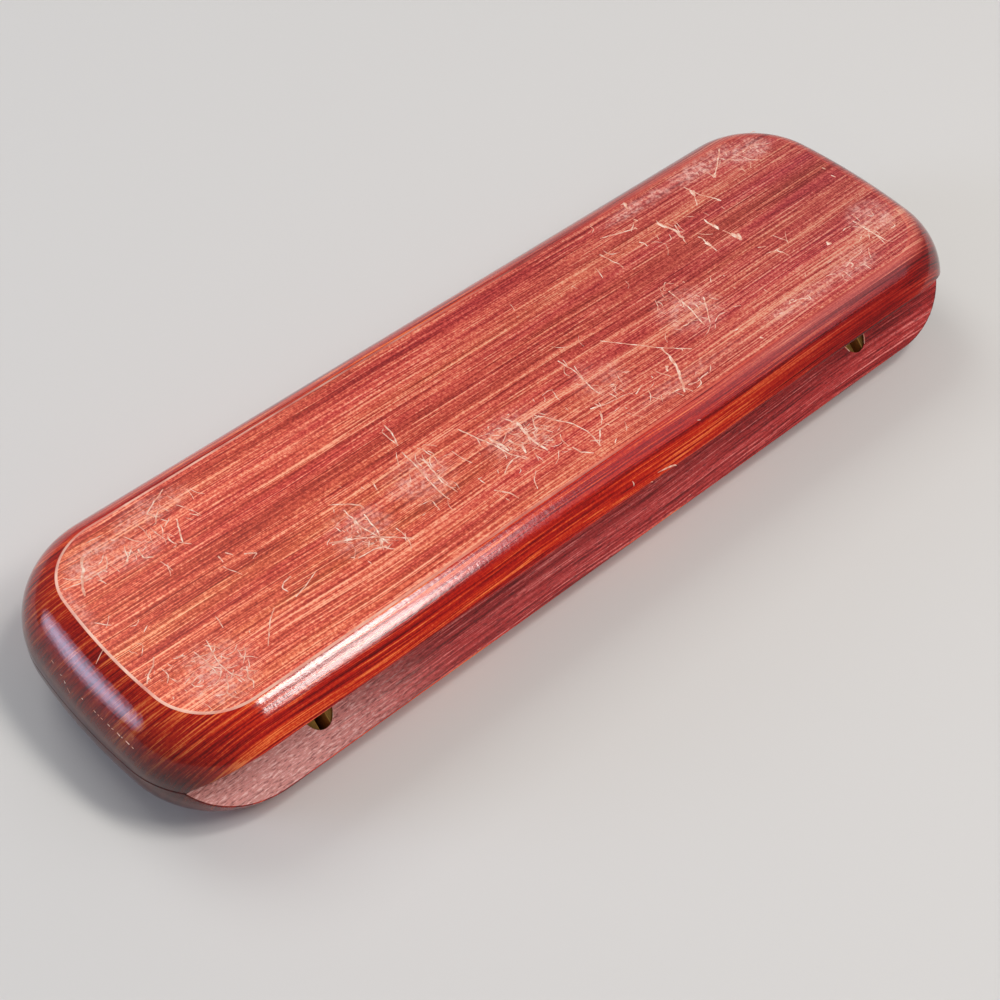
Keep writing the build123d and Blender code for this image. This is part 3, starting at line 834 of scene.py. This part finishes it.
def scratch_tubes(name, strokes):
    """Tapered tubes along the strokes, in millimetres, as a bmesh."""
    curve = bpy.data.curves.new(name, "CURVE")
    curve.dimensions = "3D"
    curve.bevel_depth = 0.5
    curve.bevel_resolution = 1
    curve.resolution_u = 4
    for width, *points in strokes:
        spline = curve.splines.new("NURBS")
        spline.points.add(len(points) - 1)
        for number, point in enumerate(points):
            high = point[2] if len(point) > 2 else HEIGHT
            spline.points[number].co = (point[0], point[1], high, 1.0)
            ends = number in (0, len(points) - 1)
            thick = point[3] if len(point) > 3 else TIP if ends else 1.0
            spline.points[number].radius = width * thick
        spline.order_u = 3
        spline.use_endpoint_u = True
    holder = new_object(name, curve)
    graph = bpy.context.evaluated_depsgraph_get()
    shape = bpy.data.meshes.new_from_object(holder.evaluated_get(graph))
    bpy.data.objects.remove(holder)
    bm = bmesh.new()
    bm.from_mesh(shape)
    return bm


flaking = random.Random(5)
bm = scratch_tubes("scratch_lines", [ragged(*s) for s in SCRATCHES] + hairlines())
FLATNESS = 0.08  # height of a pressed tube over that of a round one
pressed = Matrix.Diagonal((1, 1, FLATNESS, 1))
pressed.translation = (0, 0, HEIGHT * (1 - FLATNESS))
bmesh.ops.transform(bm, matrix=pressed, verts=bm.verts)
print("scratches:", len(bm.faces), "faces")
scratches = finish_mesh(bm, "lid_scratches", 60)
marked = [scratches]
for name, strokes in (("lid_chips", edge_strokes), ("base_chips", base_strokes)):
    bm = scratch_tubes(name, strokes)
    # mostly sunk, so only the crown of each stroke stands proud
    bmesh.ops.translate(bm, vec=(0, -0.04, -0.04), verts=bm.verts)
    marked.append(finish_mesh(bm, name, 60))
for piece, body in zip(marked, ("lid", "lid", "base")):
    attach(piece, body)

# %% [markdown]
# Where clear lacquer splinters it turns whitish, for its small cracks scatter the light. A noise mixes
# that with the red of thin lacquer.

# %% Splintered lacquer, pale where it has lifted
scratched, tree = new_material("splintered_lacquer")
place = add(tree, "TexCoord").outputs["Object"]
lifted = mottle(tree, place, 900.0, 3.0, (0.42, 0.66), (0.0, 1.0))
pale = mix(tree, lifted, "#E49C82", "#FFE8D2")
surface(tree, {"Base Color": pale, "Roughness": 0.55, "IOR": 1.4})
for piece in marked:
    piece.data.materials.append(scratched)

# %% [markdown]
# The hinge barrels and links are brass, turned and stamped. The pins are steel wire and the magnets are
# nickel plated. These CAD nodes have the right shape, so they only get their finishes. A metal keeps
# Blender's own IOR, and its marks vary its tone and roughness.


# %% Metals
def worked_metal(name, tint, roughness, spread, grain, bare=1.0):
    """A metal whose roughness and tone vary with fine marks, grain millimetres wide. bare is 0 where an
    oxide covers it."""
    material, tree = new_material(name)
    place = add(tree, "TexCoord").outputs["Object"]
    marks = add(tree, "TexNoise", {"Vector": place, "Scale": 1000 / grain, "Detail": 4.0})
    rough = ranged(tree, marks, 0.3, 0.7, roughness, roughness + spread)
    surface(tree, {"Base Color": mix(tree, marks, *tint), "Metallic": bare, "Roughness": rough})
    return material


brass = worked_metal("turned_brass", ("#D9A95A", "#A8763A"), 0.25, 0.15, 0.8)
aged = worked_metal("aged_brass", ("#94703A", "#55391A"), 0.35, 0.2, 0.5)
oxide = worked_metal("oxidised_brass", ("#D69A50", "#8A5A2A"), 0.5, 0.2, 0.4, 0.0)
steel = worked_metal("steel_wire", ("#C8C8C6", "#8E8E8C"), 0.25, 0.1, 0.6)
nickel = worked_metal("nickel_plated_magnet", ("#D8D4CC", "#B4B0A8"), 0.15, 0.1, 1.2)
finishes = {"barrel": brass, "link": brass, "pin": steel, "magnet": nickel}
for name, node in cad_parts.items():
    for word, material in finishes.items():
        if word in name:
            node.data.materials.clear()
            node.data.materials.append(material)
            print(name, "is", material.name)

# %% [markdown]
# The hinge barrels show in their bores. Brass darkens where nothing touches it and stays bright on the
# arrises that the links rub. Inside the slots it keeps a brown oxide, which isn't metallic. So each
# barrel is a copy of its CAD node, made one mesh, with its arrises eased and three finishes.


# %% Worn hinge barrels
AGED, BRIGHT, OXIDE = range(3)  # a barrel's material slots


def worn_barrel(name, node):
    """A copy of a barrel's node with rounded bright arrises."""
    bm = bmesh.new()
    bm.from_mesh(node.data)
    bmesh.ops.remove_doubles(bm, verts=bm.verts, dist=2e-6)
    bmesh.ops.dissolve_limit(bm, angle_limit=math.radians(1), verts=bm.verts, edges=bm.edges)
    for face in bm.faces:
        slot_wall = abs(face.normal.x) > 0.99
        face.material_index = OXIDE if slot_wall else AGED
        face.smooth = True
    arris = [e for e in bm.edges if e.calc_face_angle(0.0) > math.radians(35)]
    bmesh.ops.bevel(
        bm, geom=arris, offset=0.00014, segments=3, profile=0.5, affect="EDGES", material=BRIGHT
    )
    bmesh.ops.recalc_face_normals(bm, faces=bm.faces)
    for edge in bm.edges:
        edge.smooth = edge.calc_face_angle(0.0) < math.radians(40)
    print(name, len(bm.faces), "faces; open edges:", sum(e.is_boundary for e in bm.edges))
    mesh = bpy.data.meshes.new(name)
    bm.to_mesh(mesh)
    bm.free()
    for material in (aged, brass, oxide):
        mesh.materials.append(material)
    return new_object(name, mesh)


for half, side in (("base", "left"), ("base", "right"), ("lid", "left"), ("lid", "right")):
    node = f"{half}_barrel_{side}"
    barrel = worn_barrel("worn_" + node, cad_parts[node])
    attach(barrel, half)
    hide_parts(node)

# %% [markdown]
# The tray is a moulded insert flocked with short velour. It has two long troughs for pens and a
# scoop across the middle for fingers.


# %% Pen tray
TRAY = (150.6, 36.7, MIDDLE, 5.8, PANEL, 9.7)  # length, width, centre y, corner radius and levels
TROUGH = (7.16, 145.0, 8.575, 11.7)  # radius, length, y from the middle and z
SCOOP = (12.0, 21.15, 15.5)  # radius, length across and z


def pen_tray():
    """The flocked tray, with soft edges."""
    bm = bmesh.new()
    routed_block(bm, *TRAY)
    piece = finish_mesh(bm, "velour_tray")
    radius, length, apart, z = TROUGH
    bm = bmesh.new()
    for y in (MIDDLE - apart, MIDDLE + apart):
        laid = Matrix.Translation((0, y, z)) @ Matrix.Rotation(math.pi / 2, 4, "Y")
        cylinder(bm, radius, length, laid, 72)
    cut(piece, finish_mesh(bm, "trough_cutter"))
    radius, length, z = SCOOP
    bm = bmesh.new()
    laid = Matrix.Translation((0, MIDDLE, z)) @ Matrix.Rotation(math.pi / 2, 4, "X")
    cylinder(bm, radius, length, laid, 96)
    cut(piece, finish_mesh(bm, "scoop_cutter"))
    bevel = piece.modifiers.new("flocked_edges", "BEVEL")
    bevel.width = 0.0006
    bevel.segments = 3
    bevel.limit_method = "ANGLE"
    bevel.angle_limit = math.radians(25)
    apply_modifiers(piece)
    piece.data.shade_smooth()
    return piece


tray = pen_tray()
print("tray:", len(tray.data.polygons), "faces")
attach(tray, "base")
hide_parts("pen_tray")


# %% [markdown]
# The lid's lining is thin foam under velour, glued to the wood. A plain block with soft edges would look
# cast, so the block is remeshed and swollen as cloth, with its back held where the glue is. Blender's
# cloth is tuned for things about a metre long, so the pad is made ten times its size, swollen, and
# brought back. No point may move more than 0.75 mm, which keeps it inside its solid.


# %% Lid lining
FOAM = (148.6, 34.7, MIDDLE, 5.0, 16.95, 18.15)  # length, width, centre y, corner radius and levels
GLUE_LINE = 17.8  # the glue holds what is above this level
SWELLING = 0.75  # the most that a point may move
ENLARGED = 10


def lid_lining():
    """The padded lining, swollen by a cloth simulation."""
    bm = bmesh.new()
    routed_block(bm, *FOAM)
    piece = finish_mesh(bm, "padded_lining")
    piece.data.transform(Matrix.Scale(ENLARGED, 4))
    remesh = piece.modifiers.new("even_mesh", "REMESH")
    remesh.mode = "VOXEL"
    remesh.voxel_size = 0.0011 * ENLARGED
    apply_modifiers(piece)
    rest = [vertex.co.copy() for vertex in piece.data.vertices]
    glued = piece.vertex_groups.new(name="glued")
    back = GLUE_LINE / 1000 * ENLARGED
    glued.add([v.index for v in piece.data.vertices if v.co.z > back], 1.0, "REPLACE")
    cloth = piece.modifiers.new("foam", "CLOTH")
    cloth.settings.use_pressure = True
    cloth.settings.uniform_pressure_force = 4.0
    cloth.settings.effector_weights.gravity = 0.0
    cloth.settings.vertex_group_mass = "glued"
    for number in range(1, 21):
        bpy.context.scene.frame_set(number)
    apply_modifiers(piece)
    most = SWELLING / 1000 * ENLARGED
    for vertex, start in zip(piece.data.vertices, rest):
        step = vertex.co - start
        if step.length > most:
            vertex.co = start + step * (most / step.length)
    bpy.context.scene.frame_set(1)
    piece.data.transform(Matrix.Scale(1 / ENLARGED, 4))
    smoother = piece.modifiers.new("finer", "SUBSURF")
    smoother.levels = smoother.render_levels = 1
    apply_modifiers(piece)
    piece.data.shade_smooth()
    heights = [vertex.co.z * 1000 for vertex in piece.data.vertices]
    print("lining:", len(piece.data.polygons), "faces, z in mm", min(heights), "to", max(heights))
    return piece


lining = lid_lining()
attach(lining, "lid")
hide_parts("lid_pad")

# %% [markdown]
# Flocked velour is a pile of fibres under half a millimetre long. It shows as a fine grain, and as
# lighter and darker patches where a finger has laid the pile over.

# %% Velour
velour, tree = new_material("velour_flock")
place = add(tree, "TexCoord").outputs["Object"]
pile = add(tree, "TexNoise", {"Vector": place, "Scale": 1900.0, "Detail": 3.0})
brushed = {"Vector": place, "Scale": 45.0, "Detail": 3.0, "Distortion": 0.6}
brushed = add(tree, "TexNoise", brushed)
shade = ranged(tree, calc(tree, "MULTIPLY", pile, brushed), 0.12, 0.38, 0.0, 1.0)
soft = mix(tree, shade, "#1A1512", "#40352D")
tufts = add(tree, "Bump", {"Height": pile, "Strength": 0.6, "Distance": 0.0003})
sheen = {"Sheen Weight": 0.6, "Sheen Roughness": 0.35}
surface(tree, {"Base Color": soft, "Roughness": 0.9, **sheen, "Normal": tufts})
for piece in (tray, lining):
    piece.data.materials.clear()
    piece.data.materials.append(velour)

# %% [markdown]
# The floor is a plain pale sheet. It is one large face, far wider than the photograph's view, so no
# edge shows there. It lies a hair below the case, because two faces in one plane would flicker.

# %% Floor
bm = bmesh.new()
bmesh.ops.create_grid(bm, x_segments=1, y_segments=1, size=3000)
bmesh.ops.translate(bm, vec=(0, 0, -0.02), verts=bm.verts)
floor = finish_mesh(bm, "floor")
paper, tree = new_material("pale_paper_floor")
surface(tree, {"Base Color": colour("#D8D6D2"), "Roughness": 0.8})
floor.data.materials.append(paper)

# %% [markdown]
# The camera was fitted to the case's outline, split line and hinge bores in the photograph. It is
# given here as a place and three directions, in metres.

# %% Camera
camera = bpy.data.cameras.new("camera")
camera.lens = 69.54
camera.sensor_width = 36
camera.clip_start = 0.01
viewer = new_object("camera", camera)
aim = Matrix(
    (
        (-0.7472376, -0.5045029, 0.4325654),
        (0.6644791, -0.5572402, 0.4979466),
        (-0.0101727, 0.6595151, 0.7516225),
    )
).to_4x4()
aim.translation = (0.142526, 0.159881, 0.237809)
viewer.matrix_world = aim
bpy.context.scene.camera = viewer
bpy.context.scene.view_settings.view_transform = "Standard"

# %% [markdown]
# Light comes from a pale world and a few soft panes. The lacquered edge acts as a curved mirror, so the
# place of a pane is found backwards: the camera's line to a point of the edge is turned about the
# surface's normal there, and the pane stands where that line ends. Four such points give its corners.


# %% Lamps placed by their reflections
PANE_DISTANCE = 0.9  # metres from the edge to a mirrored pane


def lamp_at(name, place, target, size, radiance, tint, across=Vector((1, 0, 0)), shape="RECTANGLE"):
    """A flat lamp at a place, facing the target, of that radiance whatever its size."""
    lamp = bpy.data.lights.new(name, "AREA")
    lamp.shape = shape
    lamp.size, lamp.size_y = size
    area = size[0] * size[1] * (math.pi / 4 if shape == "ELLIPSE" else 1.0)
    lamp.energy = radiance * math.pi * area
    lamp.color = colour(tint)[:3]
    holder = new_object(name, lamp)
    back = (place - target).normalized()
    side = (across - back * across.dot(back)).normalized()
    turn = Matrix((side, back.cross(side), back)).transposed()
    holder.matrix_world = Matrix.Translation(place) @ turn.to_4x4()
    share = radiance * area * back.z / (math.pi * (place - target).length ** 2)
    print(name, "gives the flat", round(share, 3), "of a full white")


def mirrored_pane(name, start, end, on_end, layers, tint):
    """A pane seen by the camera in the edge from start to end, each given as run, least and most tilt.
    It is a few ellipses one behind another, so that its reflection is brightest in its middle."""
    eye = aim.translation
    rows = []
    for run, *tilts in (start, end):
        row = []
        for tilt in tilts:
            place, normal = edge_point(run, tilt, on_end)
            sight = (eye - place).normalized()
            row.append(place + (2 * normal.dot(sight) * normal - sight) * PANE_DISTANCE)
        rows.append(row)
    middle = sum(rows[0] + rows[1], Vector()) / 4
    along = (sum(rows[1], Vector()) - sum(rows[0], Vector())) / 2
    up = (rows[0][1] - rows[0][0] + rows[1][1] - rows[1][0]) / 2
    target = edge_point((start[0] + end[0]) / 2, (start[1] + end[2]) / 2, on_end)[0]
    for number, (wide, high, radiance) in enumerate(layers):
        size = (along.length * wide, up.length * high)
        further = middle + (middle - target).normalized() * 0.01 * number
        label = f"{name}_{number}"
        lamp_at(label, further, target, size, radiance, tint, along.normalized(), "ELLIPSE")


# layers: shares of the width and the height, and a radiance; the first are the soft surround of a window
SOFT_EDGE = [(1.35, 1.4, 0.7), (1.22, 1.2, 1.2), (1.08, 1.08, 3.0)]
UPPER = SOFT_EDGE + [(0.98, 0.98, 7), (0.82, 0.72, 18)]
LOWER = SOFT_EDGE + [(0.98, 0.98, 5), (0.82, 0.68, 13)]
SKY = [(1, 1, 2.6), (0.8, 0.65, 4.2), (0.6, 0.3, 3.2)]
GLOW = [(1, 1, 2.5), (0.7, 0.7, 2.5)]
mirrored_pane("window_upper", (37, 0.8, 7.8), (76, 0.8, 7.8), False, UPPER, "#FFFDF8")
mirrored_pane("window_lower", (34, 8.2, 17.6), (72, 8.2, 17.6), False, LOWER, "#FFFBF6")
mirrored_pane("window_fade", (18, 1.6, 17.5), (52, 1.6, 17.5), False, GLOW, "#F8F0F4")
mirrored_pane("wall_glow", (-92, 1, 19), (50, 1, 19), False, [(1, 1, 1.0)], "#E8E0F4")
mirrored_pane("side_sky", (-18, 12, 29), (19, 18, 35), True, SKY, "#CCDCFF")
overhead = Vector((0.0, -0.60, 0.80))
lamp_at("overhead_soft_box", overhead, Vector(), (0.5, 0.5), 3.0, "#FFFFFF")

world = bpy.data.worlds.new("soft_room")
bpy.context.scene.world = world
world.use_nodes = True
tree = world.node_tree
tree.nodes.clear()
sky = add(tree, "Background", {"Color": colour("#F4F4F6"), "Strength": 0.3})
add(tree, "OutputWorld", {"Surface": sky})
